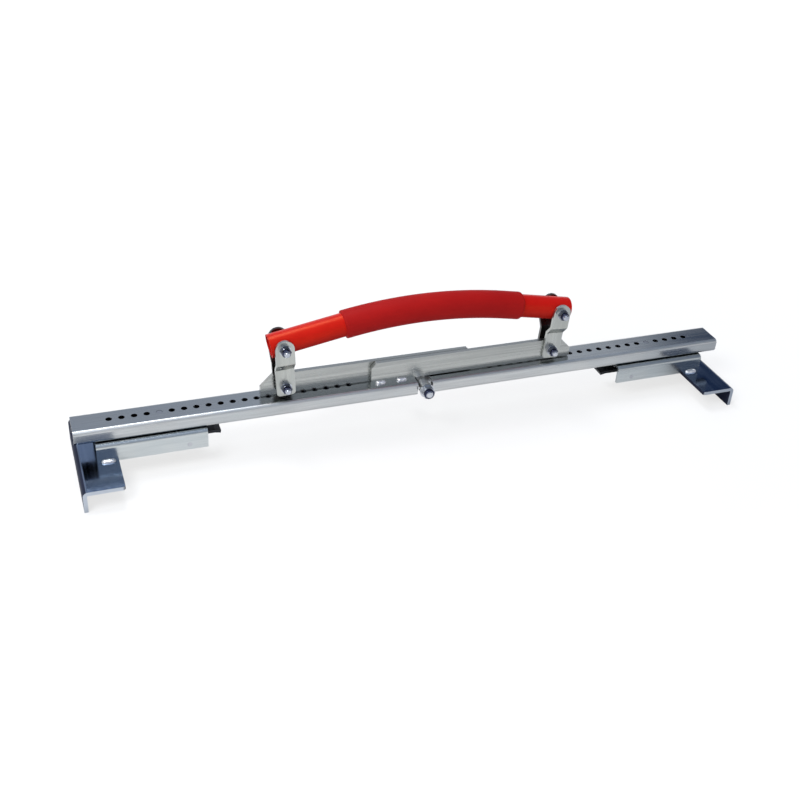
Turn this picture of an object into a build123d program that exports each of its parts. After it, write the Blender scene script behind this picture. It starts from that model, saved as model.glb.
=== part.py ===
from build123d import *
import math
import os

# Slab lifter. Millimetres, X along the rails, Y to the back, Z up from the floor.
# The origin is on the floor, midway between the two jaws.
# The right half is the left half turned half a turn about Z.

# Half rails: folded channel, slot downwards, a row of latch holes in the top
rail_length = 360.0
rail_gap = 17.0
rail_width = 34.0
rail_height = 15.5
rail_wall = 2.0
rail_inner_radius = 2.0
rail_slot_width = 16.0
hole_pitch = 12.5
hole_diameter = 6.5
hole_count = 21
hole_end_distance = 36.5

# Jaws: bent plate, a leg under the rail and a lip down the slab's edge
jaw_depth = 132.0
jaw_leg = 41.0
jaw_height = 23.6
jaw_thickness = 4.0
jaw_inner_radius = 1.0
jaw_corner_radius = 3.0

# Carriages: folded channel, open downwards, welded on the jaw leg
carriage_setback = 20.0
carriage_length = 111.0
carriage_width = 42.0
carriage_height = 20.4
carriage_wall = 3.0
carriage_inner_radius = 2.0
carriage_clearance = 0.7

# Slide blocks in the rail, and the screws that hold them to the carriage
block_length = 20.0
block_height = 7.0
block_side_clearance = 2.0
block_seat_clearance = 0.3
block_neck_clearance = 0.5
block_end_distance = 20.5
screw_diameter = 6.0
screw_head_flats = 10.0
screw_head_height = 3.2
screw_end_clearance = 2.0

# Latches: lever on a cross pin, plunger up into a rail hole, return spring
plunger_diameter = 6.0
plunger_recess = 0.2
plunger_collar_diameter = 11.0
plunger_collar_height = 2.0
plunger_collar_gap = 0.9
plunger_slot_clearance = 1.0
plunger_setback = 44.0
lever_arm = 25.5
lever_width = 18.0
lever_thickness = 3.0
lever_tail = 9.0
lever_reach = 15.5
lever_tip_run = 6.0
lever_tip_drop = 1.2
lever_knuckle_wall = 2.2
latch_pin_diameter = 5.0
spring_height = 7.0
spring_diameter = 9.0
spring_wire = 1.0
spring_turns = 3.5
spring_offset = 3.5
spring_seat_gap = 0.3
spring_samples = 24

# Lifting bars: flat bar on edge, crossing over the hinge
bar_thickness = 5.0
bar_height = 25.0
bar_tail = 58.5
bar_end_margin = 24.8
bar_outer_chamfer = 13.5
bar_inner_chamfer = 5.5
bar_spacing = 0.5
bar_lift = 1.2

# Centre hinge: one knuckle on each rail, bolt, washers and lock nut
knuckle_diameter = 14.0
knuckle_overhang = 3.5
knuckle_spacing = 0.6
tang_length = 28.0
tang_thickness = 10.0
tang_side_gap = 2.0
hinge_bolt_diameter = 8.0
hinge_flats = 13.0
hinge_head_height = 5.3
hinge_nut_height = 8.0
hinge_washer_diameter = 16.0
hinge_bolt_end = 0.8

# Links: joggled flat steel, close to the bar below and outside the tube above
link_length = 48.6
link_width = 20.0
link_thickness = 3.0
link_lean = 3.4
link_foot = 10.0
link_foot_radius = 4.0
link_bend_radius = 3.0
joggle_start = 22.0
joggle_rise = 9.0

# Pivot bolts of the links
pivot_distance = 152.7
pivot_height = 13.5
pivot_bolt_diameter = 6.0
pivot_flats = 10.0
pivot_head_height = 4.0
pivot_nut_height = 6.0
pivot_washer_diameter = 12.0
pivot_bolt_end = 3.0
washer_thickness = 1.6

# Shape of bolts and nuts, as shares of their size
hexagon_sides = 6
bolt_chamfer_share = 0.1
hexagon_chamfer_share = 0.8
nut_hexagon_share = 0.65
nut_collar_share = 0.88
nut_rounding_share = 0.15

# Handle: bent tube with a grip sleeve
tube_diameter = 25.0
tube_wall = 2.0
tube_overhang = 12.8
tube_end_slope = 10.5
tube_bend_radius = 490.0
tube_slot_travel = 1.5
tube_slot_play = 0.3
grip_length = 200.0
grip_shift = 9.5
grip_wall = 2.5
grip_edge_radius = 1.2

# Weld beads
weld_leg = 3.2
weld_end_share = 0.6
bar_weld_starts = (5.0, 29.0)
bar_weld_length = 12.0
jaw_weld_start = 4.0
jaw_weld_length = 14.0

# Fits
running_clearance = 0.1
side_clearance = 0.3

# Levels, from the floor up
carriage_top = jaw_height + carriage_height
web_underside = carriage_top - carriage_wall
rail_bottom = carriage_top + carriage_clearance
rail_top = rail_bottom + rail_height
hinge_level = rail_bottom + rail_height / 2
pivot_level = rail_top + pivot_height
lever_top = web_underside - spring_height
lever_middle = lever_top - lever_thickness / 2

# Places along the left half
rail_inner = -rail_gap / 2
rail_outer = rail_inner - rail_length
carriage_outer = rail_outer + carriage_setback
carriage_inner = carriage_outer + carriage_length
first_hole_x = rail_outer + hole_end_distance
inner_screw_x = carriage_inner - block_end_distance
spring_x = inner_screw_x + screw_head_flats / 2 + spring_offset + spring_diameter / 2

# The plunger takes the last hole that leaves its setback from the carriage's inner end
latch_hole = math.floor((carriage_inner - plunger_setback - first_hole_x) / hole_pitch)
plunger_x = first_hole_x + latch_hole * hole_pitch
latch_pin_x = plunger_x + lever_arm
latch_pin_level = lever_top - lever_thickness - latch_pin_diameter / 2 + lever_knuckle_wall / 2

# Far end of the front bar, past the right pivot
bar_end = pivot_distance + bar_end_margin

# Places across
bar_face = bar_spacing / 2 + bar_thickness
link_low_face = bar_face + side_clearance
link_top_face = tube_diameter / 2 + side_clearance
link_outer_face = link_top_face + link_thickness
knuckle_end = rail_width / 2 + knuckle_overhang
hinge_seat = knuckle_end + side_clearance + washer_thickness
pivot_bore = pivot_bolt_diameter + 2 * running_clearance

# Upper pivots, carried by the links
handle_pivot_x = pivot_distance + link_length * math.sin(math.radians(link_lean))
handle_pivot_level = pivot_level + link_length * math.cos(math.radians(link_lean))


def block(x0, x1, y0, y1, z0, z1):
    size = (x1 - x0, y1 - y0, z1 - z0)
    return Pos((x0 + x1) / 2, (y0 + y1) / 2, (z0 + z1) / 2) * Box(*size)


def cross_rod(x, z, y0, y1, diameter):
    return Pos(x, (y0 + y1) / 2, z) * Rot(90, 0, 0) * Cylinder(diameter / 2, abs(y1 - y0))


def upright_rod(x, y, z0, z1, diameter):
    return Pos(x, y, (z0 + z1) / 2) * Cylinder(diameter / 2, z1 - z0)


def hexagon(flats, height):
    corner = flats / 2 / math.cos(math.pi / hexagon_sides)
    prism = extrude(RegularPolygon(corner, hexagon_sides), height / 2, both=True)
    rounding = Cylinder(corner, height)
    rims = rounding.edges().filter_by(GeomType.CIRCLE)
    return prism & chamfer(rims, (corner - flats / 2) * hexagon_chamfer_share)


def cross_hexagon(x, z, y0, y1, flats):
    return Pos(x, (y0 + y1) / 2, z) * Rot(90, 0, 0) * hexagon(flats, abs(y1 - y0))


def turned(shape):
    return Rot(0, 0, 180) * shape


# Half rail
def make_rail():
    outer = RectangleRounded(rail_width, rail_height, rail_inner_radius + rail_wall)
    hollow_width = rail_width - 2 * rail_wall
    hollow_height = rail_height - 2 * rail_wall
    hollow = RectangleRounded(hollow_width, hollow_height, rail_inner_radius)
    slot = Pos(0, -rail_height / 2) * Rectangle(rail_slot_width, 2 * rail_wall)
    rail = extrude(Plane.YZ * (outer - hollow - slot), rail_length)
    rail = Pos(rail_outer, 0, hinge_level) * rail
    holes = []
    for number in range(hole_count):
        x = first_hole_x + number * hole_pitch
        holes.append(upright_rod(x, 0, hinge_level, rail_top + rail_wall, hole_diameter))
    return rail - holes


# Lifting bar welded on the left rail, in front of its twin
def make_bar():
    top = rail_top + bar_height
    outline = Polyline(
        (-bar_tail, rail_top),
        (-bar_tail, top - bar_inner_chamfer),
        (bar_inner_chamfer - bar_tail, top),
        (bar_end - bar_outer_chamfer, top),
        (bar_end, top - bar_outer_chamfer),
        (bar_end, rail_top + bar_lift),
        (rail_inner, rail_top + bar_lift),
        (rail_inner, rail_top),
        close=True,
    )
    bar = extrude(Plane.XZ * make_face(outline), bar_thickness)
    bar = Pos(0, -bar_spacing / 2, 0) * bar
    return bar - cross_rod(pivot_distance, pivot_level, -bar_face, 0, pivot_bore)


# Weld bead in the corner between an upright face and a level one, along X
def weld_bead(x0, length, y, z):
    corner = Plane.YZ * Circle(weld_leg)
    rod = Pos(x0, y, z) * extrude(corner, length)
    rod = fillet(rod.edges().filter_by(GeomType.CIRCLE), weld_leg * weld_end_share)
    return rod & block(x0, x0 + length, y - weld_leg, y, z, z + weld_leg)


def make_bar_welds():
    beads = []
    for start in bar_weld_starts:
        beads.append(weld_bead(start - bar_tail, bar_weld_length, -bar_face, rail_top))
    return Compound(children=beads)


# Hinge knuckle of the left rail: an eye behind the middle, with a tang inside the rail
def make_knuckle(bore):
    ceiling = rail_top - rail_wall
    eye = cross_rod(0, hinge_level, knuckle_spacing / 2, knuckle_end, knuckle_diameter)
    tang_side = rail_width / 2 - rail_wall - tang_side_gap
    tang_start = rail_inner - tang_length
    tang = block(tang_start, 0, tang_side_gap, tang_side, ceiling - tang_thickness, ceiling)
    return eye + tang - cross_rod(0, hinge_level, 0, knuckle_end, bore)


# Bolt along Y, head at the back, its end just past the nut in front
def make_bolt(x, z, diameter, flats, head, back, front):
    shank = cross_rod(x, z, front, back, diameter)
    end = shank.edges().filter_by(GeomType.CIRCLE).sort_by(Axis.Y)[0]
    shank = chamfer(end, diameter * bolt_chamfer_share)
    return shank + cross_hexagon(x, z, back, back + head, flats)


# Self-locking nut: a hexagon with a round collar, seated on the plane y
def make_nut(x, z, diameter, flats, height, y):
    hexagon_height = nut_hexagon_share * height
    collar_diameter = nut_collar_share * flats
    collar = cross_rod(x, z, y - height, y, collar_diameter)
    rim = collar.edges().filter_by(GeomType.CIRCLE).sort_by(Axis.Y)[0]
    collar = fillet(rim, nut_rounding_share * height)
    nut = collar + cross_hexagon(x, z, y - hexagon_height, y, flats)
    return nut - cross_rod(x, z, y - height, y, diameter)


# A washer under the head and one under the nut
def make_washers(x, z, bolt, diameter, seat):
    pair = []
    for inner, outer in ((seat - washer_thickness, seat), (-seat, washer_thickness - seat)):
        ring = cross_rod(x, z, inner, outer, diameter)
        pair.append(ring - cross_rod(x, z, inner, outer, bolt))
    return Compound(children=pair)


def make_hinge_bolt():
    front = -hinge_seat - hinge_nut_height - hinge_bolt_end
    return make_bolt(
        0, hinge_level, hinge_bolt_diameter, hinge_flats, hinge_head_height, hinge_seat, front
    )


# Jaw of the left rail: bent plate with its lip at the rail's outer end
def make_jaw():
    lip_middle = rail_outer + jaw_thickness / 2
    leg_middle = jaw_height - jaw_thickness / 2
    line = FilletPolyline(
        (lip_middle, 0),
        (lip_middle, leg_middle),
        (rail_outer + jaw_leg, leg_middle),
        radius=jaw_inner_radius + jaw_thickness / 2,
    )
    jaw = extrude(Plane.XZ * trace(line, jaw_thickness), jaw_depth / 2, both=True)
    corners = jaw.edges().filter_by(Axis.Z).group_by(Axis.X)[-1]
    return fillet(corners, jaw_corner_radius)


# Carriage of the left jaw: channel under the rail, bored for screws, plunger and latch pin
def make_carriage():
    outer_radius = carriage_inner_radius + carriage_wall
    outer = RectangleRounded(carriage_width, 2 * carriage_height, outer_radius)
    hollow_width = carriage_width - 2 * carriage_wall
    hollow_height = carriage_height - carriage_wall
    hollow = RectangleRounded(hollow_width, 2 * hollow_height, carriage_inner_radius)
    upper = Pos(0, carriage_height) * Rectangle(carriage_width, 2 * carriage_height)
    channel = extrude(Plane.YZ * ((outer - hollow) & upper), carriage_length)
    channel = Pos(carriage_outer, 0, jaw_height) * channel
    for x in block_places():
        channel -= upright_rod(x, 0, web_underside, carriage_top, screw_diameter)
    guide = plunger_diameter + 2 * running_clearance
    channel -= upright_rod(plunger_x, 0, web_underside, carriage_top, guide)
    return channel - cross_rod(
        latch_pin_x, latch_pin_level, -carriage_width, carriage_width, latch_pin_diameter
    )


def make_jaw_welds():
    start = carriage_outer + jaw_weld_start
    front = weld_bead(start, jaw_weld_length, -carriage_width / 2, jaw_height)
    return Compound(children=[front, mirror(front, Plane.XZ)])


# Slide blocks: T section, the head inside the rail and the neck down through its slot
def block_places():
    return (carriage_outer + block_end_distance, inner_screw_x)


def make_slide_blocks():
    head_width = rail_width - 2 * rail_wall - 2 * block_side_clearance
    neck_width = rail_slot_width - 2 * block_neck_clearance
    seat = rail_bottom + rail_wall + block_seat_clearance
    blocks = []
    for x in block_places():
        x0 = x - block_length / 2
        x1 = x + block_length / 2
        head = block(x0, x1, -head_width / 2, head_width / 2, seat, seat + block_height)
        neck = block(x0, x1, -neck_width / 2, neck_width / 2, carriage_top, seat)
        blocks.append(head + neck - upright_rod(x, 0, carriage_top, seat + block_height, screw_diameter))
    return Compound(children=blocks)


def make_slide_screws():
    end = rail_bottom + rail_wall + block_seat_clearance + block_height - screw_end_clearance
    screws = []
    for x in block_places():
        head_middle = web_underside - screw_head_height / 2
        head = Pos(x, 0, head_middle) * hexagon(screw_head_flats, screw_head_height)
        screws.append(head + upright_rod(x, 0, web_underside, end, screw_diameter))
    return Compound(children=screws)


# Latch lever: strip with a rolled knuckle, a slot for the plunger and a bent finger tip
def make_lever():
    tail = plunger_x - lever_tail
    tip = carriage_inner + lever_reach
    line = Polyline(
        (tail, lever_middle),
        (tip - lever_tip_run, lever_middle),
        (tip, lever_middle - lever_tip_drop),
    )
    knuckle = latch_pin_diameter + 2 * lever_knuckle_wall
    section = trace(line, lever_thickness) + Pos(latch_pin_x, latch_pin_level) * Circle(knuckle / 2)
    lever = extrude(Plane.XZ * section, lever_width / 2, both=True)
    bore = latch_pin_diameter + 2 * running_clearance
    lever -= cross_rod(latch_pin_x, latch_pin_level, -lever_width, lever_width, bore)
    slot = plunger_diameter + 2 * plunger_slot_clearance
    return lever - upright_rod(plunger_x, 0, lever_top - lever_thickness, lever_top, slot)


def make_latch_pin():
    return cross_rod(
        latch_pin_x, latch_pin_level, -carriage_width / 2, carriage_width / 2, latch_pin_diameter
    )


# Latch plunger: rod with a head under the lever and a collar above it
def make_plunger():
    head_top = lever_top - lever_thickness - plunger_collar_gap
    head_bottom = head_top - plunger_collar_height
    collar_bottom = lever_top + plunger_collar_gap
    collar_top = collar_bottom + plunger_collar_height
    rod = upright_rod(plunger_x, 0, head_bottom, rail_top - plunger_recess, plunger_diameter)
    head = upright_rod(plunger_x, 0, head_bottom, head_top, plunger_collar_diameter)
    collar = upright_rod(plunger_x, 0, collar_bottom, collar_top, plunger_collar_diameter)
    return rod + head + collar


# Latch spring: one helical wire between the lever and the carriage web
spring_radius = (spring_diameter - spring_wire) / 2
spring_rise = spring_height - spring_seat_gap - spring_wire
quarter_turns = round(4 * spring_turns)


def spring_point(quarters):
    angle = quarters * math.pi / 2
    x = spring_x + spring_radius * math.cos(angle)
    y = spring_radius * math.sin(angle)
    z = lever_top + spring_seat_gap + spring_wire / 2 + spring_rise * quarters / quarter_turns
    return Vector(x, y, z)


def spring_direction(quarters):
    angle = quarters * math.pi / 2
    climb = spring_rise / quarter_turns / (math.pi / 2)
    return Vector(-spring_radius * math.sin(angle), spring_radius * math.cos(angle), climb).normalized()


# Two tangent arcs from one quarter point of the helix to the next
def quarter_arcs(quarters):
    start = spring_point(quarters)
    end = spring_point(quarters + 1)
    leaving = spring_direction(quarters)
    arriving = spring_direction(quarters + 1)
    span = end - start
    both = leaving + arriving
    a = 4 - both.dot(both)
    b = span.dot(both)
    reach = (math.sqrt(b * b + a * span.dot(span)) - b) / a
    joint = (start + leaving * reach + end - arriving * reach) * 0.5
    middle = (end - arriving * reach - start - leaving * reach).normalized()
    return [TangentArc(start, joint, tangent=leaving), TangentArc(joint, end, tangent=middle)]


def make_spring():
    arcs = []
    for quarters in range(quarter_turns):
        arcs.extend(quarter_arcs(quarters))
    section = Plane(spring_point(0), z_dir=spring_direction(0)) * Circle(spring_wire / 2)
    return sweep(section, path=Wire(arcs))


def spring_gap():
    count = round(spring_turns * spring_samples)
    points = [spring_point(4 * number / spring_samples) for number in range(count + 1)]
    least = min(
        (points[first] - points[second]).length
        for first in range(count + 1)
        for second in range(first + spring_samples // 2, count + 1)
    )
    return least - spring_wire


# Link in front of the right pivots: flat below, stepped outwards, flat and round above
def make_front_link():
    low = -link_low_face - link_thickness / 2
    high = -link_top_face - link_thickness / 2
    line = FilletPolyline(
        (low, -link_foot),
        (low, joggle_start),
        (high, joggle_start + joggle_rise),
        (high, link_length + link_width / 2),
        radius=link_bend_radius,
    )
    strip = extrude(Plane.YZ * trace(line, link_thickness), link_width / 2, both=True)
    straight = Pos(0, (link_length - link_foot) / 2) * Rectangle(link_width, link_length + link_foot)
    feet = straight.vertices().group_by(Axis.Y)[0]
    outline = fillet(feet, link_foot_radius) + Pos(0, link_length) * Circle(link_width / 2)
    link = strip & extrude(Plane.XZ * outline, link_outer_face)
    for z in (0, link_length):
        link -= cross_rod(0, z, -link_outer_face, 0, pivot_bore)
    return Pos(pivot_distance, 0, pivot_level) * Rot(0, link_lean, 0) * link


# Spacer on the lower right bolt, beside the single bar
def make_spacer():
    inner = bar_spacing / 2
    ring = cross_rod(pivot_distance, pivot_level, inner, bar_face, pivot_washer_diameter)
    return ring - cross_rod(pivot_distance, pivot_level, inner, bar_face, pivot_bolt_diameter)


# Hardware of one pivot: bolt, lock nut and a washer on each link, a gap away where the link turns
def make_pivot(x, z, link_face, gap):
    seat = link_face + link_thickness + gap + washer_thickness
    front = -seat - pivot_nut_height - pivot_bolt_end
    return {
        "bolt": make_bolt(x, z, pivot_bolt_diameter, pivot_flats, pivot_head_height, seat, front),
        "nut": make_nut(x, z, pivot_bolt_diameter, pivot_flats, pivot_nut_height, -seat),
        "washers": make_washers(x, z, pivot_bolt_diameter, pivot_washer_diameter, seat),
    }


# Handle: the tube's middle line is two straight ends joined by one arc
slope = math.radians(tube_end_slope)
arc_half_span = tube_bend_radius * math.sin(slope)
arc_foot = handle_pivot_level + (handle_pivot_x - arc_half_span) * math.tan(slope)
arc_top = arc_foot + tube_bend_radius * (1 - math.cos(slope))
tube_end_x = handle_pivot_x + tube_overhang * math.cos(slope)
tube_end_level = handle_pivot_level - tube_overhang * math.sin(slope)


def tube_line():
    left = Line((-tube_end_x, 0, tube_end_level), (-arc_half_span, 0, arc_foot))
    arc = ThreePointArc((-arc_half_span, 0, arc_foot), (0, 0, arc_top), (arc_half_span, 0, arc_foot))
    right = Line((arc_half_span, 0, arc_foot), (tube_end_x, 0, tube_end_level))
    return Wire([left, arc, right])


def rod_along(line, diameter):
    return sweep(Plane(line @ 0, z_dir=line % 0) * Circle(diameter / 2), path=line)


# The right bolt has a plain bore; the left one a slot along the tube, and rests at its outer end
def make_tube():
    line = tube_line()
    tube = rod_along(line, tube_diameter) - rod_along(line, tube_diameter - 2 * tube_wall)
    tube -= cross_rod(handle_pivot_x, handle_pivot_level, -tube_diameter, tube_diameter, pivot_bore)
    slot = SlotCenterToCenter(tube_slot_travel, pivot_bolt_diameter + 2 * tube_slot_play)
    slot = Rot(0, 0, tube_end_slope) * Pos(tube_slot_travel / 2, 0) * slot
    cutter = extrude(Plane.XZ * slot, tube_diameter, both=True)
    return tube - Pos(-handle_pivot_x, 0, handle_pivot_level) * cutter


def make_grip():
    line = tube_line()
    middle = line.length / 2 + grip_shift
    part = line.trim((middle - grip_length / 2) / line.length, (middle + grip_length / 2) / line.length)
    grip = rod_along(part, tube_diameter + 2 * grip_wall)
    rims = grip.edges().filter_by(GeomType.CIRCLE).sort_by(Axis.X)
    grip = fillet([rims[0], rims[-1]], min(grip_edge_radius, grip_wall / 2))
    return grip - rod_along(line, tube_diameter)


def build_nodes():
    nodes = {
        "left_rail": make_rail(),
        "front_bar": make_bar(),
        "front_bar_welds": make_bar_welds(),
        "left_knuckle": make_knuckle(hinge_bolt_diameter),
        "left_jaw_plate": make_jaw(),
        "left_carriage": make_carriage(),
        "left_jaw_welds": make_jaw_welds(),
        "left_slide_blocks": make_slide_blocks(),
        "left_slide_screws": make_slide_screws(),
        "left_latch_lever": make_lever(),
        "left_latch_pin": make_latch_pin(),
        "left_latch_plunger": make_plunger(),
        "left_latch_spring": make_spring(),
        "right_front_link": make_front_link(),
        "right_rear_link": mirror(make_front_link(), Plane.XZ),
        "right_pivot_spacer": make_spacer(),
    }
    twins = {
        "front_bar": "rear_bar",
        "front_bar_welds": "rear_bar_welds",
        "right_front_link": "left_rear_link",
        "right_rear_link": "left_front_link",
        "right_pivot_spacer": "left_pivot_spacer",
    }
    for name in list(nodes):
        twin = twins.get(name, name.replace("left", "right"))
        nodes[twin] = turned(nodes[name])
    nodes["right_knuckle"] = turned(make_knuckle(hinge_bolt_diameter + 2 * running_clearance))
    pivots = {
        "left_lower": (-pivot_distance, pivot_level, link_low_face, side_clearance),
        "right_lower": (pivot_distance, pivot_level, link_low_face, side_clearance),
        "left_upper": (-handle_pivot_x, handle_pivot_level, link_top_face, 0),
        "right_upper": (handle_pivot_x, handle_pivot_level, link_top_face, 0),
    }
    for place, (x, z, face, gap) in pivots.items():
        for piece, shape in make_pivot(x, z, face, gap).items():
            nodes[place + "_" + piece] = shape
    nodes["hinge_bolt"] = make_hinge_bolt()
    nodes["hinge_nut"] = make_nut(
        0, hinge_level, hinge_bolt_diameter, hinge_flats, hinge_nut_height, -hinge_seat
    )
    nodes["hinge_washers"] = make_washers(
        0, hinge_level, hinge_bolt_diameter, hinge_washer_diameter, hinge_seat
    )
    nodes["handle_tube"] = make_tube()
    nodes["grip_sleeve"] = make_grip()
    return nodes


print("least gap between spring turns:", round(spring_gap(), 3))
os.makedirs("parts", exist_ok=True)
for name, shape in build_nodes().items():
    export_step(shape, "parts/" + name + ".step")
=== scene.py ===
import math
import bpy
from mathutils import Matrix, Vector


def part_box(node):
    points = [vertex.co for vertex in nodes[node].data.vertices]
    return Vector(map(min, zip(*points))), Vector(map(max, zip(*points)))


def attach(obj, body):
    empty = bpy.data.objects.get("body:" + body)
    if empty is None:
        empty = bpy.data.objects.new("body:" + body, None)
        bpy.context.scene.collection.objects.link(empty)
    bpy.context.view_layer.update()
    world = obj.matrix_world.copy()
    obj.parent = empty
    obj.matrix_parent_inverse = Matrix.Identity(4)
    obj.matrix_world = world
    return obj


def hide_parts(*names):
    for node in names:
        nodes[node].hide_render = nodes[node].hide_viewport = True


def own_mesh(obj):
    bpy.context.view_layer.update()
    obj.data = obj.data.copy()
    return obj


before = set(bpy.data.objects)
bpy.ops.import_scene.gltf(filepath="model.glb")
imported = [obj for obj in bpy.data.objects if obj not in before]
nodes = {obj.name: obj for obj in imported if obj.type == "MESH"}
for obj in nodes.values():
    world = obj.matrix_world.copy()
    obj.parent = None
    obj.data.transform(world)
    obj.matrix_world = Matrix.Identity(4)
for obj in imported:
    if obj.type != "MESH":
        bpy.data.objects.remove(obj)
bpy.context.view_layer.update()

# Half rails: two lengths of folded steel channel with the slot downwards, punched with a row of
# latch holes. The strip is drawn through rollers and then plated with bright zinc, so fine lines run
# along it and faint blue and straw tints lie over the grey.


def new_group(name, inputs, outputs):
    group = bpy.data.node_groups.new(name, "ShaderNodeTree")
    for label, kind, value in inputs:
        socket = group.interface.new_socket(label, in_out="INPUT", socket_type=kind)
        if value is not None:
            socket.default_value = value
    for label, kind in outputs:
        group.interface.new_socket(label, in_out="OUTPUT", socket_type=kind)
    return group, group.nodes.new("NodeGroupInput"), group.nodes.new("NodeGroupOutput")


def add_noise(tree, vector, scale, detail, rough):
    noise = tree.nodes.new("ShaderNodeTexNoise")
    noise.inputs["Scale"].default_value = scale
    noise.inputs["Detail"].default_value = detail
    noise.inputs["Roughness"].default_value = rough
    tree.links.new(vector, noise.inputs["Vector"])
    return noise.outputs["Fac"]


# Runs from out_low to out_high while the given value runs from low to high
def add_span(tree, value, low, high, out_low=0.0, out_high=1.0):
    span = tree.nodes.new("ShaderNodeMapRange")
    tree.links.new(value, span.inputs["Value"])
    span.inputs["From Min"].default_value = low
    span.inputs["From Max"].default_value = high
    span.inputs["To Min"].default_value = out_low
    span.inputs["To Max"].default_value = out_high
    return span.outputs["Result"]


# One step of arithmetic on values that change over the surface and plain numbers
def add_math(tree, kind, *terms):
    step = tree.nodes.new("ShaderNodeMath")
    step.operation = kind
    for socket, term in zip(step.inputs, terms):
        if isinstance(term, float):
            socket.default_value = term
        else:
            tree.links.new(term, socket)
    return step.outputs[0]


def add_mix(tree, fac, first, second):
    mix = tree.nodes.new("ShaderNodeMix")
    mix.data_type = "RGBA"
    tree.links.new(fac, mix.inputs[0])
    for socket, colour in ((mix.inputs[6], first), (mix.inputs[7], second)):
        if isinstance(colour, tuple):
            socket.default_value = (*colour, 1.0)
        else:
            tree.links.new(colour, socket)
    return mix.outputs[2]


# Rolling lines and plating clouds, from a place already stretched along the rolling direction
rolled, rolled_in, rolled_out = new_group(
    "rolled_lines",
    (("Stretched", "NodeSocketVector", None), ("Place", "NodeSocketVector", None)),
    (("Lines", "NodeSocketFloat"), ("Cloud", "NodeSocketFloat"), ("Height", "NodeSocketFloat")),
)
coarse_lines = add_noise(rolled, rolled_in.outputs["Stretched"], 90.0, 3.0, 0.55)
fine_lines = add_noise(rolled, rolled_in.outputs["Stretched"], 420.0, 2.0, 0.6)
coarse_share = add_math(rolled, "MULTIPLY", coarse_lines, 0.6)
both_lines = add_math(rolled, "MULTIPLY_ADD", fine_lines, 0.4, coarse_share)
cloud = add_noise(rolled, rolled_in.outputs["Place"], 28.0, 3.0, 0.5)
speck = add_noise(rolled, rolled_in.outputs["Place"], 600.0, 2.0, 0.5)
line_height = add_math(rolled, "MULTIPLY_ADD", speck, 0.15, both_lines)
rolled.links.new(add_span(rolled, both_lines, 0.35, 0.65), rolled_out.inputs["Lines"])
rolled.links.new(add_span(rolled, cloud, 0.3, 0.7), rolled_out.inputs["Cloud"])
rolled.links.new(line_height, rolled_out.inputs["Height"])

# Rubbed edges: how far the rounded-over normal turns away from the face
rubbed, rubbed_in, rubbed_out = new_group(
    "rubbed_edges",
    (("Place", "NodeSocketVector", None), ("Reach", "NodeSocketFloat", 0.0012)),
    (("Edge", "NodeSocketFloat"),),
)
rounded = rubbed.nodes.new("ShaderNodeBevel")
rounded.samples = 4
rubbed.links.new(rubbed_in.outputs["Reach"], rounded.inputs["Radius"])
surface = rubbed.nodes.new("ShaderNodeNewGeometry")
turn = rubbed.nodes.new("ShaderNodeVectorMath")
turn.operation = "DOT_PRODUCT"
rubbed.links.new(rounded.outputs["Normal"], turn.inputs[0])
rubbed.links.new(surface.outputs["Normal"], turn.inputs[1])
patchy = add_noise(rubbed, rubbed_in.outputs["Place"], 160.0, 3.0, 0.6)
lifted = add_math(rubbed, "MULTIPLY_ADD", patchy, -0.06, turn.outputs["Value"])
rubbed.links.new(add_span(rubbed, lifted, 0.93, 0.80), rubbed_out.inputs["Edge"])


def add_group(tree, group, **links):
    node = tree.nodes.new("ShaderNodeGroup")
    node.node_tree = group
    for label, source in links.items():
        if isinstance(source, float):
            node.inputs[label].default_value = source
        else:
            tree.links.new(source, node.inputs[label])
    return node


def new_finish(name, metallic):
    finish = bpy.data.materials.new(name)
    finish.use_nodes = True
    tree = finish.node_tree
    shader = tree.nodes["Principled BSDF"]
    shader.inputs["Metallic"].default_value = metallic
    place = tree.nodes.new("ShaderNodeTexCoord").outputs["Object"]
    return finish, tree, shader, place


def coat(tree, shader, colour, matt):
    tree.links.new(colour, shader.inputs["Base Color"])
    tree.links.new(matt, shader.inputs["Roughness"])


def add_bump(tree, shader, height, strength, distance):
    bump = tree.nodes.new("ShaderNodeBump")
    bump.inputs["Strength"].default_value = strength
    bump.inputs["Distance"].default_value = distance
    tree.links.new(height, bump.inputs["Height"])
    tree.links.new(bump.outputs["Normal"], shader.inputs["Normal"])


def plated_steel(name, stretch, dark, light, tint, edge, rough, strength=0.08, reach=0.0006, wear=0.6):
    finish, tree, shader, place = new_finish(name, 1.0)
    along = tree.nodes.new("ShaderNodeMapping")
    along.inputs["Scale"].default_value = stretch
    tree.links.new(place, along.inputs["Vector"])
    lines = add_group(tree, rolled, Stretched=along.outputs["Vector"], Place=place)
    rub = add_group(tree, rubbed, Place=place, Reach=reach)
    colour = add_mix(tree, lines.outputs["Lines"], dark, light)
    clouded = add_math(tree, "MULTIPLY", lines.outputs["Cloud"], 0.55)
    colour = add_mix(tree, clouded, colour, tint)
    worn = add_math(tree, "MULTIPLY", rub.outputs["Edge"], wear)
    colour = add_mix(tree, worn, colour, edge)
    matt = add_span(tree, lines.outputs["Lines"], 0.0, 1.0, rough + 0.07, rough - 0.05)
    coat(tree, shader, colour, matt)
    add_bump(tree, shader, lines.outputs["Height"], strength, 0.0001)
    return finish


def dress(finish, *names):
    for name in names:
        nodes[name].data.materials.clear()
        nodes[name].data.materials.append(finish)


# The X, Y and Z of a coordinate: Object is a point's place, Normal the way its face looks
def add_parts(tree, coordinate):
    parts = tree.nodes.new("ShaderNodeSeparateXYZ")
    tree.links.new(tree.nodes["Texture Coordinate"].outputs[coordinate], parts.inputs["Vector"])
    return parts.outputs


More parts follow.
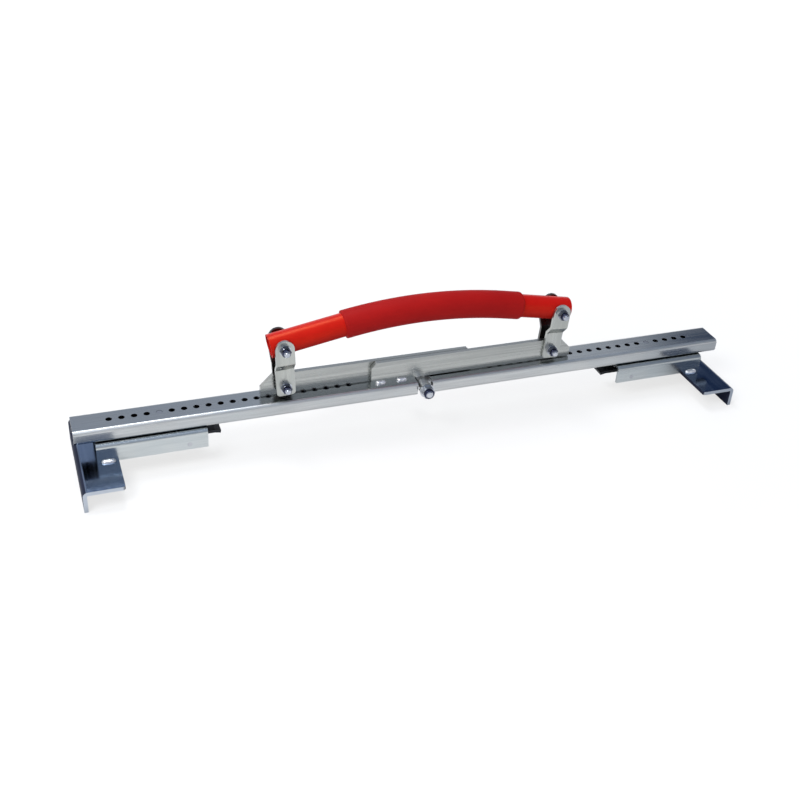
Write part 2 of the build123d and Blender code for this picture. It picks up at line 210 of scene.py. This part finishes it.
# Mask that is 1 where a size of the place, without its sign, is less than the limit
def add_within(tree, size, limit):
    return add_math(tree, "LESS_THAN", add_math(tree, "ABSOLUTE", size), limit)


# Lays a second colour over a finish where the mask is 1
def overlay(finish, mask, colour):
    tree = finish.node_tree
    base = tree.nodes["Principled BSDF"].inputs["Base Color"]
    below = base.links[0].from_socket
    tree.links.new(add_mix(tree, mask, below, colour), base)


# Makes a finish rougher by the given amount where the mask is 1
def dull(finish, mask, amount):
    tree = finish.node_tree
    roughness = tree.nodes["Principled BSDF"].inputs["Roughness"]
    below = roughness.links[0].from_socket
    tree.links.new(add_math(tree, "MULTIPLY_ADD", mask, amount, below), roughness)


# A bend is stretched when it is folded, so its plating is duller than on the flats
def dull_bend(finish, amount):
    tree = finish.node_tree
    facing = add_parts(tree, "Normal")
    bend = add_math(tree, "MULTIPLY", add_math(tree, "ABSOLUTE", facing["Y"]), facing["Z"])
    dull(finish, bend, amount)


zinc_rail = plated_steel(
    "zinc_rail", stretch=(0.04, 1.0, 1.0), dark=(0.45, 0.46, 0.46), light=(0.63, 0.64, 0.63),
    tint=(0.50, 0.53, 0.54), edge=(0.72, 0.74, 0.75), rough=0.19,
)
dull_bend(zinc_rail, 0.6)
channel_half_width = 0.0152
channel_ceiling = 0.0583
hole_half_width = 0.0033
hole_rim = 0.06015
rail_tree = zinc_rail.node_tree
rail_place = add_parts(rail_tree, "Object")
hollows = []
for half_width, ceiling in ((channel_half_width, channel_ceiling), (hole_half_width, hole_rim)):
    between = add_within(rail_tree, rail_place["Y"], half_width)
    under = add_within(rail_tree, rail_place["Z"], ceiling)
    hollows.append(add_math(rail_tree, "MULTIPLY", between, under))
# The inside of the channel and the walls of the latch holes are painted near black as painted shade
hollow_painted_shade = add_math(rail_tree, "MAXIMUM", *hollows)
overlay(zinc_rail, hollow_painted_shade, (0.035, 0.04, 0.05))
dress(zinc_rail, "left_rail", "right_rail")

# Lifting bars: hot rolled flat bar set on edge, one welded on each rail, plated after welding.
# Broad rolling streaks run the whole length and show as light and dark lines on the sides.
zinc_bar = plated_steel(
    "zinc_bar", stretch=(0.012, 1.0, 1.0), dark=(0.27, 0.28, 0.27), light=(0.60, 0.61, 0.58),
    tint=(0.45, 0.46, 0.44), edge=(0.52, 0.53, 0.52), rough=0.26, strength=0.15,
)
dress(zinc_bar, "front_bar", "rear_bar")

# Stitch welds at the foot of each bar: short beads of weld metal laid in the corner between bar and
# rail. Each bead is a row of frozen pools that overlap like coins, plated over with the rest.
weld_leg = 0.0032
pool_pitch = 0.0018
bar_weld_length = 0.012
outer_stitch_start = -0.0535
inner_stitch_start = -0.0295
bar_face = 0.00525
rail_top = 0.0602


# A quarter round bead along X; its sizes are shares of the weld's leg
def rippled_bead(name, start, length, y, z):
    size = 0.3
    smallest = 0.25
    steps = 48
    bpy.ops.object.select_all(action="DESELECT")
    bpy.ops.mesh.primitive_circle_add(
        vertices=24, radius=size * weld_leg, fill_type="NGON",
        location=(start, y, z), rotation=(0.0, math.pi / 2, 0.0),
    )
    bead = bpy.context.object
    bead.name = name
    bpy.ops.object.transform_apply(location=True, rotation=True, scale=True)
    bpy.ops.object.mode_set(mode="EDIT")
    bpy.ops.mesh.select_all(action="SELECT")
    for step in range(1, steps + 1):
        share = step / steps
        bpy.ops.mesh.extrude_region_move(TRANSFORM_OT_translate={"value": (length / steps, 0.0, 0.0)})
        end_round = math.sqrt(max(0.0, 1.0 - abs(2.0 * share - 1.0) ** 5))
        pool = (share * length / pool_pitch) % 1.0
        wanted = max(smallest, end_round * (0.86 - 0.10 * share + 0.14 * math.sqrt(pool)))
        ratio = wanted / size
        bpy.ops.transform.resize(
            value=(1.0, ratio, ratio), center_override=(start + share * length, y, z)
        )
        size = wanted
    for direction in ((0.0, -1.0, 0.0), (0.0, 0.0, 1.0)):
        bpy.ops.mesh.select_all(action="SELECT")
        bpy.ops.mesh.bisect(
            plane_co=(start, y, z), plane_no=direction, use_fill=True, clear_inner=True
        )
    bpy.ops.mesh.select_all(action="SELECT")
    bpy.ops.mesh.normals_make_consistent(inside=False)
    bpy.ops.object.mode_set(mode="OBJECT")
    bpy.ops.object.shade_smooth_by_angle(angle=math.radians(40.0))
    return bead


# A copy with its own mesh, turned or mirrored about the origin
def copy_piece(piece, name, turn=None, scale=None):
    bpy.ops.object.select_all(action="DESELECT")
    piece.select_set(True)
    bpy.context.view_layer.objects.active = piece
    bpy.ops.object.duplicate()
    twin = bpy.context.object
    twin.name = name
    if turn is not None:
        twin.rotation_euler = turn
    if scale is not None:
        twin.scale = scale
    bpy.ops.object.transform_apply(location=True, rotation=True, scale=True)
    if scale is not None:
        bpy.ops.object.mode_set(mode="EDIT")
        bpy.ops.mesh.select_all(action="SELECT")
        bpy.ops.mesh.normals_make_consistent(inside=False)
        bpy.ops.object.mode_set(mode="OBJECT")
    return twin


def join_beads(first, second):
    bpy.ops.object.select_all(action="DESELECT")
    first.select_set(True)
    second.select_set(True)
    bpy.context.view_layer.objects.active = first
    bpy.ops.object.join()
    return first


# Weld metal is painted lighter than the plating round it as a painted highlight, over a cloudy tone that
# differs at random
weld_metal, weld_tree, weld_shader, weld_place = new_finish("weld_metal", 1.0)
weld_cloud = add_noise(weld_tree, weld_place, 260.0, 3.0, 0.6)
weld_grit = add_noise(weld_tree, weld_place, 1400.0, 2.0, 0.5)
weld_shade = add_span(weld_tree, weld_cloud, 0.35, 0.65)
weld_tone_and_sheen = add_mix(weld_tree, weld_shade, (0.42, 0.44, 0.49), (0.93, 0.93, 0.94))
weld_matt = add_span(weld_tree, weld_cloud, 0.3, 0.7, 0.46, 0.30)
coat(weld_tree, weld_shader, weld_tone_and_sheen, weld_matt)
add_bump(weld_tree, weld_shader, weld_grit, 0.35, 0.0002)

front_stitches = join_beads(
    rippled_bead("front_stitches", outer_stitch_start, bar_weld_length, -bar_face, rail_top),
    rippled_bead("front_stitch_inner", inner_stitch_start, bar_weld_length, -bar_face, rail_top),
)
half_turn = (0.0, 0.0, math.pi)
rear_stitches = copy_piece(front_stitches, "rear_stitches", turn=half_turn)
for piece, body, node in (
    (front_stitches, "left_frame", "front_bar_welds"), (rear_stitches, "right_frame", "rear_bar_welds"),
):
    piece.data.materials.append(weld_metal)
    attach(piece, body)
    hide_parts(node)

# Centre hinge: a turned eye with a tang on each rail, held by one bolt with washers and a lock nut.
# Bolt, nut and washers are bought in, cold formed and bright zinc plated with a blue cast.
# The eye's plating is painted lighter than the rails' as a painted highlight, where the bars above would
# give it a dark reflection
zinc_eye = plated_steel(
    "zinc_eye", stretch=(1.0, 0.1, 1.0), dark=(0.62, 0.63, 0.64), light=(0.84, 0.85, 0.85),
    tint=(0.72, 0.74, 0.76), edge=(0.88, 0.89, 0.89), rough=0.34,
)
dress(zinc_eye, "left_knuckle", "right_knuckle")


# Plating on small hardware: no rolling lines, nearly smooth, with narrow bright edges
def plated_hardware(name, dark, light, tint, edge, rough):
    return plated_steel(
        name, (1.0, 1.0, 1.0), dark, light, tint, edge, rough, strength=0.03, reach=0.00025, wear=0.7
    )


bolt_zinc = plated_hardware(
    "bolt_zinc", dark=(0.46, 0.48, 0.52), light=(0.70, 0.71, 0.73), tint=(0.42, 0.46, 0.54),
    edge=(0.88, 0.89, 0.90), rough=0.14,
)
dress(bolt_zinc, "hinge_bolt", "hinge_washers")
thread_zinc = plated_hardware(
    "thread_zinc", dark=(0.16, 0.18, 0.23), light=(0.27, 0.29, 0.35), tint=(0.13, 0.16, 0.24),
    edge=(0.66, 0.68, 0.72), rough=0.13,
)


# Lock nut with a plated hexagon and a collar in front of the given depth; the collar is painted dark as
# a painted reflection of the dark room, and the bright edges are a painted highlight ring
def collared_nut(name, collar_depth, dark, light, tint):
    finish = plated_hardware(name, dark, light, tint, edge=(0.80, 0.81, 0.83), rough=0.14)
    tree = finish.node_tree
    collar_painted_dark = add_math(tree, "LESS_THAN", add_parts(tree, "Object")["Y"], collar_depth)
    overlay(finish, collar_painted_dark, (0.035, 0.04, 0.075))
    return finish


collar_share = 0.35
hinge_nut_face = -0.0304
hinge_nut_depth = 0.008
hinge_nut_zinc = collared_nut(
    "hinge_nut_zinc", hinge_nut_face + collar_share * hinge_nut_depth,
    dark=(0.40, 0.42, 0.46), light=(0.60, 0.62, 0.65), tint=(0.38, 0.42, 0.50),
)
dress(hinge_nut_zinc, "hinge_nut")


# The ridge of a rolled thread, wound round the end of a bolt that lies along Y
def wind_thread(name, x, z, tip, radius, pitch, turns):
    steps_a_turn = 28
    bpy.ops.object.select_all(action="DESELECT")
    bpy.ops.mesh.primitive_circle_add(
        vertices=3, radius=0.5 * pitch, location=(x + radius - 0.1 * pitch, tip + 0.5 * pitch, z),
        rotation=(0.0, 0.0, -math.pi / 2),
    )
    thread = bpy.context.object
    thread.name = name
    bpy.ops.object.transform_apply(location=True, rotation=True, scale=True)
    bpy.context.scene.cursor.location = (x, tip, z)
    bpy.ops.object.origin_set(type="ORIGIN_CURSOR")
    winding = thread.modifiers.new("winding", "SCREW")
    winding.axis = "Y"
    winding.screw_offset = pitch
    winding.iterations = turns
    winding.steps = steps_a_turn
    winding.render_steps = steps_a_turn
    bpy.ops.object.modifier_apply(modifier="winding")
    bpy.ops.object.transform_apply(location=True, rotation=True, scale=True)
    bpy.ops.object.mode_set(mode="EDIT")
    bpy.ops.mesh.select_all(action="DESELECT")
    bpy.ops.mesh.select_non_manifold()
    bpy.ops.mesh.fill()
    bpy.ops.mesh.select_all(action="SELECT")
    bpy.ops.mesh.normals_make_consistent(inside=False)
    bpy.ops.object.mode_set(mode="OBJECT")
    bpy.ops.object.shade_smooth_by_angle(angle=math.radians(30.0))
    bpy.context.scene.cursor.location = (0.0, 0.0, 0.0)
    return thread


# Nylon ring pressed into the collar of a lock nut, seen round the end of the bolt
def press_insert(name, x, z, face, inner, outer):
    crown = 0.0003
    wall_thickness = 0.0004
    middle = 0.5 * inner + 0.5 * outer
    bpy.ops.object.select_all(action="DESELECT")
    bpy.ops.mesh.primitive_circle_add(
        vertices=48, radius=outer, location=(x, face, z), rotation=(math.pi / 2, 0.0, 0.0)
    )
    insert = bpy.context.object
    insert.name = name
    bpy.ops.object.transform_apply(location=True, rotation=True, scale=True)
    bpy.ops.object.mode_set(mode="EDIT")
    bpy.ops.mesh.select_all(action="SELECT")
    for rise, shrink in ((-crown, middle / outer), (crown, inner / middle)):
        bpy.ops.mesh.extrude_edges_move(TRANSFORM_OT_translate={"value": (0.0, rise, 0.0)})
        bpy.ops.transform.resize(value=(shrink, 1.0, shrink), center_override=(x, face, z))
    bpy.ops.mesh.select_all(action="SELECT")
    bpy.ops.mesh.normals_make_consistent(inside=False)
    bpy.ops.object.mode_set(mode="OBJECT")
    wall = insert.modifiers.new("wall", "SOLIDIFY")
    wall.thickness = wall_thickness
    wall.offset = -1.0
    bpy.ops.object.modifier_apply(modifier="wall")
    bpy.ops.object.shade_smooth_by_angle(angle=math.radians(50.0))
    return insert


nylon, nylon_tree, nylon_shader, nylon_place = new_finish("nylon_insert", 0.0)
nylon_cloud = add_noise(nylon_tree, nylon_place, 700.0, 3.0, 0.5)
nylon_colour = add_mix(nylon_tree, nylon_cloud, (0.02, 0.025, 0.06), (0.05, 0.06, 0.11))
nylon_matt = add_span(nylon_tree, nylon_cloud, 0.3, 0.7, 0.35, 0.5)
coat(nylon_tree, nylon_shader, nylon_colour, nylon_matt)

hinge_level = 0.05245
hinge_bolt_end = hinge_nut_face - 0.0008
insert_sink = 0.0001
hinge_thread = wind_thread(
    "hinge_thread", 0.0, hinge_level, hinge_bolt_end, radius=0.004, pitch=0.00065, turns=1
)
hinge_insert = press_insert(
    "hinge_insert", 0.0, hinge_level, hinge_nut_face + insert_sink, inner=0.0039, outer=0.0047
)
for piece, finish in ((hinge_thread, thread_zinc), (hinge_insert, nylon)):
    piece.data.materials.append(finish)
    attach(piece, "left_frame")

# Jaws: thick plate bent down into a lip at the outer end, plated bluer than the rails and painted darker
# as a painted reflection of the dark room.
# Faces turned along X, the lip's sides most, are dull and painted nearly black as painted shade; faces
# turned along Y, the sheared edges, are painted lighter as a painted reflection of the pale floor.
blue_jaw = plated_steel(
    "blue_jaw", stretch=(1.0, 0.06, 1.0), dark=(0.24, 0.31, 0.42), light=(0.33, 0.40, 0.52),
    tint=(0.20, 0.27, 0.41), edge=(0.56, 0.60, 0.66), rough=0.13,
)
jaw_tree = blue_jaw.node_tree
jaw_shader = jaw_tree.nodes["Principled BSDF"]
jaw_facing = add_parts(jaw_tree, "Normal")
# Faces turned along X are painted nearly black as painted shade
lip_side_painted_shade = add_span(jaw_tree, add_math(jaw_tree, "ABSOLUTE", jaw_facing["X"]), 0.06, 0.40)
overlay(blue_jaw, lip_side_painted_shade, (0.016, 0.020, 0.040))
dull(blue_jaw, lip_side_painted_shade, 0.45)
jaw_tree.links.new(add_span(jaw_tree, lip_side_painted_shade, 0.0, 1.0, 1.0, 0.1), jaw_shader.inputs["Metallic"])
jaw_shader.inputs["Specular IOR Level"].default_value = 0.08
# Faces turned along Y are painted lighter as a painted reflection of the pale floor
sheared_side_painted_light = add_span(jaw_tree, add_math(jaw_tree, "ABSOLUTE", jaw_facing["Y"]), 0.6, 0.9, 0.0, 0.8)
overlay(blue_jaw, sheared_side_painted_light, (0.54, 0.57, 0.61))
dress(blue_jaw, "left_jaw_plate", "right_jaw_plate")

# Carriages: folded channels that hang under the rails and are welded down on the jaws.
# Same plated strip as the rails, a little bluer and with hardly any wear on the edges.
zinc_carriage = plated_steel(
    "zinc_carriage", stretch=(0.05, 1.0, 1.0), dark=(0.47, 0.50, 0.50), light=(0.60, 0.62, 0.61),
    tint=(0.50, 0.55, 0.57), edge=(0.52, 0.56, 0.60), rough=0.22, strength=0.03, wear=0.1,
)
dull_bend(zinc_carriage, 0.1)
dress(zinc_carriage, "left_carriage", "right_carriage")

# Jaw welds: one rippled bead on each side of the carriage, laid in the corner where it stands on the
# jaw plate. The right pair is the left pair turned half round.
jaw_weld_start = -0.3445
jaw_weld_length = 0.014
carriage_side = 0.021
jaw_top = 0.0236
left_jaw_beads = rippled_bead("left_jaw_beads", jaw_weld_start, jaw_weld_length, -carriage_side, jaw_top)
back_bead = copy_piece(left_jaw_beads, "back_bead", scale=(1.0, -1.0, 1.0))
left_jaw_beads = join_beads(left_jaw_beads, back_bead)
right_jaw_beads = copy_piece(left_jaw_beads, "right_jaw_beads", turn=half_turn)
for side, piece in (("left", left_jaw_beads), ("right", right_jaw_beads)):
    piece.data.materials.append(weld_metal)
    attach(piece, side + "_jaw")
    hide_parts(side + "_jaw_welds")

# Slide blocks and screws: moulded black blocks that run inside the rail, screwed to the carriage
# from below with hexagon heads.
moulded, moulded_tree, moulded_shader, moulded_place = new_finish("moulded_black", 0.0)
pebble = add_noise(moulded_tree, moulded_place, 500.0, 3.0, 0.6)
moulded_colour = add_mix(moulded_tree, pebble, (0.012, 0.012, 0.014), (0.05, 0.05, 0.055))
moulded_matt = add_span(moulded_tree, pebble, 0.3, 0.7, 0.45, 0.7)
coat(moulded_tree, moulded_shader, moulded_colour, moulded_matt)
add_bump(moulded_tree, moulded_shader, pebble, 0.3, 0.0002)
dress(moulded, "left_slide_blocks", "right_slide_blocks")
dress(bolt_zinc, "left_slide_screws", "right_slide_screws")

# Latches: a blackened lever on a cross pin, with a bent finger tip, that draws a plain steel plunger
# out of the rail; a coil spring of drawn wire pushes it back.
black_lever = plated_steel(
    "black_lever", stretch=(0.08, 1.0, 1.0), dark=(0.016, 0.017, 0.020), light=(0.035, 0.037, 0.042),
    tint=(0.024, 0.025, 0.03), edge=(0.16, 0.17, 0.18), rough=0.36,
)
dress(black_lever, "left_latch_lever", "right_latch_lever")
turned_steel = plated_steel(
    "turned_steel", stretch=(1.0, 1.0, 0.1), dark=(0.40, 0.41, 0.43), light=(0.58, 0.59, 0.61),
    tint=(0.48, 0.49, 0.52), edge=(0.30, 0.31, 0.33), rough=0.22,
)
dress(turned_steel, "left_latch_plunger", "right_latch_plunger", "left_latch_pin", "right_latch_pin")
spring_wire = plated_steel(
    "spring_wire", stretch=(1.0, 1.0, 1.0), dark=(0.30, 0.30, 0.31), light=(0.46, 0.46, 0.47),
    tint=(0.36, 0.36, 0.38), edge=(0.6, 0.6, 0.6), rough=0.3,
)
spring_x = -0.245
spring_top = 0.041
spring_bottom = 0.0343
wire_radius = 0.0005
coil_radius = 0.004
coil_turns = 3.5
coil_steps = 98
bpy.ops.object.select_all(action="DESELECT")
bpy.ops.mesh.primitive_circle_add(
    vertices=12, radius=wire_radius, rotation=(math.pi / 2, 0.0, 0.0),
    location=(spring_x + coil_radius, 0.0, spring_bottom + wire_radius),
)
left_spring = bpy.context.object
left_spring.name = "left_coil"
bpy.ops.object.transform_apply(location=True, rotation=True, scale=True)
bpy.context.scene.cursor.location = (spring_x, 0.0, spring_bottom)
bpy.ops.object.origin_set(type="ORIGIN_CURSOR")
coiling = left_spring.modifiers.new("coiling", "SCREW")
coiling.axis = "Z"
coiling.angle = coil_turns * 2.0 * math.pi
coiling.screw_offset = spring_top - spring_bottom - 2.0 * wire_radius
coiling.steps = coil_steps
coiling.render_steps = coil_steps
bpy.ops.object.modifier_apply(modifier="coiling")
bpy.ops.object.transform_apply(location=True, rotation=True, scale=True)
bpy.context.scene.cursor.location = (0.0, 0.0, 0.0)
bpy.ops.object.mode_set(mode="EDIT")
bpy.ops.mesh.select_all(action="DESELECT")
bpy.ops.mesh.select_non_manifold()
bpy.ops.mesh.edge_face_add()
bpy.ops.mesh.select_all(action="SELECT")
bpy.ops.mesh.normals_make_consistent(inside=False)
bpy.ops.object.mode_set(mode="OBJECT")
bpy.ops.object.shade_smooth_by_angle(angle=math.radians(50.0))
right_spring = copy_piece(left_spring, "right_coil", turn=half_turn)
for side, piece, x in (("left", left_spring, spring_x), ("right", right_spring, -spring_x)):
    piece.data.materials.append(spring_wire)
    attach(piece, side + "_jaw")
    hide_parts(side + "_latch_spring")
    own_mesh(piece)

# Links: flat steel pressed into a joggle, four alike, close to the bars below and outside the tube
# above. The pressing leaves them dull, with a warm grey plating; their inner faces, and the rear links
# more, are painted darker as painted shade.
zinc_link = plated_steel(
    "zinc_link", stretch=(1.0, 1.0, 0.05), dark=(0.43, 0.44, 0.40), light=(0.56, 0.57, 0.52),
    tint=(0.46, 0.48, 0.48), edge=(0.62, 0.63, 0.60), rough=0.28,
)
link_tree = zinc_link.node_tree
link_facing = add_parts(link_tree, "Normal")["Y"]
link_place = add_parts(link_tree, "Object")["Y"]
# Faces turned in towards the tube, and the rims of the rear links, are painted dark as painted shade
outward = add_math(link_tree, "MULTIPLY", link_facing, link_place)
behind = add_math(link_tree, "MAXIMUM", link_place, 0.0)
inward = add_math(link_tree, "MULTIPLY_ADD", behind, -0.5, outward)
inner_face_painted_shade = add_span(link_tree, inward, -0.001, -0.004, 0.0, 0.9)
overlay(zinc_link, inner_face_painted_shade, (0.07, 0.06, 0.06))
dress(zinc_link, "left_front_link", "left_rear_link", "right_front_link", "right_rear_link")

# Pivot hardware: four small bolts with lock nuts and washers. The bolt ends stand three millimetres
# out of the nuts, and the lower bolts carry a spacer beside the single bar.
for corner in ("left_lower", "left_upper", "right_lower", "right_upper"):
    dress(bolt_zinc, corner + "_bolt", corner + "_washers")
dress(bolt_zinc, "left_pivot_spacer", "right_pivot_spacer")
pivot_nut_depth = 0.006
thread_setback = 0.0004
for level in ("lower", "upper"):
    nut_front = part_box("left_" + level + "_nut")[0].y
    # The pivot nuts are painted much darker than the other plated hardware, as painted shade
    shaded_nut_finish = collared_nut(
        level + "_nut_zinc", nut_front + collar_share * pivot_nut_depth,
        dark=(0.09, 0.10, 0.12), light=(0.19, 0.20, 0.23), tint=(0.09, 0.10, 0.15),
    )
    dress(shaded_nut_finish, "left_" + level + "_nut", "right_" + level + "_nut")
for corner, body in (
    ("left_lower", "right_frame"), ("left_upper", "left_links"),
    ("right_lower", "left_frame"), ("right_upper", "right_links"),
):
    low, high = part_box(corner + "_nut")
    x = 0.5 * (low.x + high.x)
    z = 0.5 * (low.z + high.z)
    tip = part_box(corner + "_bolt")[0].y + thread_setback
    thread = wind_thread(corner + "_thread", x, z, tip, radius=0.003, pitch=0.0008, turns=3)
    insert = press_insert(corner + "_insert", x, z, low.y + insert_sink, inner=0.0029, outer=0.0036)
    for piece, finish in ((thread, thread_zinc), (insert, nylon)):
        piece.data.materials.append(finish)
        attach(piece, body)

# Handle tube: bent steel tube, cut square and dipped in gloss red enamel, which flows a little
# uneven, dries duller underneath and is rubbed through to a darker primer at the cut ends. Its underside
# is also painted darker red as painted shade.
red_enamel, enamel_tree, enamel_shader, enamel_place = new_finish("red_enamel", 0.0)
flow = add_noise(enamel_tree, enamel_place, 35.0, 3.0, 0.5)
peel = add_noise(enamel_tree, enamel_place, 420.0, 2.0, 0.5)
enamel_edge = add_group(enamel_tree, rubbed, Place=enamel_place).outputs["Edge"]
enamel_shade = add_span(enamel_tree, flow, 0.3, 0.7)
enamel_colour = add_mix(enamel_tree, enamel_shade, (0.52, 0.007, 0.006), (0.60, 0.011, 0.008))
enamel_worn = add_math(enamel_tree, "MULTIPLY", enamel_edge, 0.7)
enamel_colour = add_mix(enamel_tree, enamel_worn, enamel_colour, (0.22, 0.012, 0.010))
enamel_matt = add_span(enamel_tree, peel, 0.3, 0.7, 0.30, 0.38)
coat(enamel_tree, enamel_shader, enamel_colour, enamel_matt)
dull(red_enamel, enamel_edge, 0.5)
# Faces turned downwards are painted darker red as painted shade, and made rougher
enamel_underside_painted_shade = add_span(enamel_tree, add_parts(enamel_tree, "Normal")["Z"], 0.2, -0.5)
overlay(red_enamel, enamel_underside_painted_shade, (0.42, 0.004, 0.003))
dull(red_enamel, enamel_underside_painted_shade, 0.4)
enamel_shader.inputs["Specular IOR Level"].default_value = 0.45
enamel_shader.inputs["Specular Tint"].default_value = (1.0, 0.30, 0.08, 1.0)
enamel_height = add_math(enamel_tree, "MULTIPLY_ADD", flow, 4.0, peel)
add_bump(enamel_tree, enamel_shader, enamel_height, 0.015, 0.0004)
dress(red_enamel, "handle_tube")

# Grip sleeve: soft red plastic tube pushed over the handle, matt, with a fine pebble from the mould
# and a slightly darker, dirtier skin where the hand holds it.
red_grip, grip_tree, grip_shader, grip_place = new_finish("red_grip", 0.0)
skin = add_noise(grip_tree, grip_place, 1500.0, 2.0, 0.5)
soil = add_noise(grip_tree, grip_place, 22.0, 4.0, 0.55)
grip_edge = add_group(grip_tree, rubbed, Place=grip_place).outputs["Edge"]
grip_shade = add_span(grip_tree, soil, 0.3, 0.7)
grip_colour = add_mix(grip_tree, grip_shade, (0.35, 0.007, 0.007), (0.41, 0.009, 0.008))
grip_worn = add_math(grip_tree, "MULTIPLY", grip_edge, 0.5)
grip_colour = add_mix(grip_tree, grip_worn, grip_colour, (0.55, 0.04, 0.03))
grip_matt = add_span(grip_tree, skin, 0.3, 0.7, 0.48, 0.62)
coat(grip_tree, grip_shader, grip_colour, grip_matt)
grip_shader.inputs["Specular IOR Level"].default_value = 0.08
add_bump(grip_tree, grip_shader, skin, 0.25, 0.0003)
dress(red_grip, "grip_sleeve")

# Studio: a wide pale floor of milky film, which shows what sinks below it when the rails fold, soft
# light from above and from the front left, and a pale room with a greyer upper part, so that level
# plated faces show darker than upright ones.
floor_width = 12.0
bpy.ops.object.select_all(action="DESELECT")
bpy.ops.mesh.primitive_plane_add(size=floor_width, location=(0.0, 0.0, 0.0))
floor = bpy.context.object
floor.name = "studio_floor"
film, film_tree, film_shader, film_place = new_finish("studio_film", 0.0)
film_shader.inputs["Base Color"].default_value = (0.62, 0.62, 0.62, 1.0)
film_shader.inputs["Roughness"].default_value = 0.9
film_shader.inputs["Specular IOR Level"].default_value = 0.0
film_shader.inputs["Emission Color"].default_value = (1.0, 0.98, 0.94, 1.0)

# The film glows white to the eye, less near the object so that the shadow stays, and metal sees it
# fade out past the right jaw
distance = film_tree.nodes.new("ShaderNodeVectorMath")
distance.operation = "LENGTH"
film_tree.links.new(film_place, distance.inputs[0])
film_glow = add_span(film_tree, distance.outputs["Value"], 0.35, 1.6, 0.43, 0.78)
ray = film_tree.nodes.new("ShaderNodeLightPath").outputs
seen_straight = add_math(film_tree, "MAXIMUM", ray["Is Camera Ray"], ray["Is Transmission Ray"])
metal_share = add_span(film_tree, add_parts(film_tree, "Object")["X"], 0.22, 0.40, 0.68, 0.0)
seen_in_metal = add_math(film_tree, "MULTIPLY", ray["Is Glossy Ray"], metal_share)
seen_at_all = add_math(film_tree, "MAXIMUM", seen_straight, seen_in_metal)
glow_strength = add_math(film_tree, "MULTIPLY", seen_at_all, film_glow)
film_tree.links.new(glow_strength, film_shader.inputs["Emission Strength"])

# Half see-through from above and clear from below
underside = film_tree.nodes.new("ShaderNodeNewGeometry").outputs["Backfacing"]
clearness = add_math(film_tree, "MAXIMUM", underside, 0.5)
seen_through = add_math(film_tree, "MULTIPLY", ray["Is Camera Ray"], clearness)
film_tree.links.new(add_span(film_tree, seen_through, 0.0, 1.0, 1.0, 0.0), film_shader.inputs["Alpha"])
floor.data.materials.append(film)

room = bpy.data.worlds.new("studio_room")
bpy.context.scene.world = room
room.use_nodes = True
room_tree = room.node_tree
room_tree.nodes.clear()
room_tree.nodes.new("ShaderNodeTexCoord")
room_way = add_parts(room_tree, "Generated")
height_ramp = room_tree.nodes.new("ShaderNodeValToRGB")
room_tree.links.new(room_way["Z"], height_ramp.inputs["Fac"])
height_stops = height_ramp.color_ramp.elements
height_stops[0].position = 0.0
height_stops[0].color = (1.0, 1.0, 1.0, 1.0)
height_stops[1].position = 1.0
height_stops[1].color = (0.34, 0.44, 0.62, 1.0)
for position, colour in (
    (0.20, (0.95, 0.95, 0.97)), (0.42, (0.34, 0.38, 0.46)), (0.66, (0.34, 0.39, 0.49)),
):
    height_stops.new(position).color = (*colour, 1.0)

# A lighter board stands behind on the right, and past it a dark blue curtain
raised = add_span(room_tree, room_way["Z"], 0.22, 0.36)
board_side = add_span(room_tree, room_way["X"], 0.12, 0.30, 0.0, 0.45)
board = add_math(room_tree, "MULTIPLY", board_side, raised)
room_colour = add_mix(room_tree, board, height_ramp.outputs["Color"], (0.62, 0.66, 0.72))
curtain_side = add_span(room_tree, room_way["X"], 0.508, 0.54)
curtain = add_math(room_tree, "MULTIPLY", curtain_side, raised)
room_colour = add_mix(room_tree, curtain, room_colour, (0.01, 0.03, 0.08))
soft_room = room_tree.nodes.new("ShaderNodeBackground")
room_tree.links.new(room_colour, soft_room.inputs["Color"])
room_out = room_tree.nodes.new("ShaderNodeOutputWorld")
room_tree.links.new(soft_room.outputs["Background"], room_out.inputs["Surface"])


def hang_lamp(name, place, aim, width, depth, power):
    bpy.ops.object.light_add(type="AREA", location=place)
    lamp = bpy.context.object
    lamp.name = name
    lamp.data.shape = "RECTANGLE"
    lamp.data.size = width
    lamp.data.size_y = depth
    lamp.data.energy = power
    pitch = math.atan2(math.hypot(aim[0] - place[0], aim[1] - place[1]), place[2] - aim[2])
    heading = math.atan2(aim[1] - place[1], aim[0] - place[0]) - math.pi / 2
    lamp.rotation_euler = (pitch, 0.0, heading)


hang_lamp(
    "soft_box_above", place=(-0.3, 0.5, 1.75), aim=(-0.25, 0.1, 0.05), width=0.5, depth=0.8, power=13.0
)
hang_lamp(
    "soft_box_left", place=(-1.1, -0.7, 1.5), aim=(0.0, 0.0, 0.08), width=0.9, depth=0.7, power=18.0
)

# Camera: at the photograph's place, looking down from the front left with a slight roll, through a
# normal lens.
bpy.ops.object.camera_add(
    location=(-0.4033, -0.9491, 0.6894),
    rotation=(math.radians(57.165), math.radians(-3.143), math.radians(-19.865)),
)
camera = bpy.context.object
camera.data.sensor_width = 36.0
camera.data.lens = 49.97
bpy.context.scene.camera = camera
bpy.context.scene.view_settings.view_transform = "Standard"
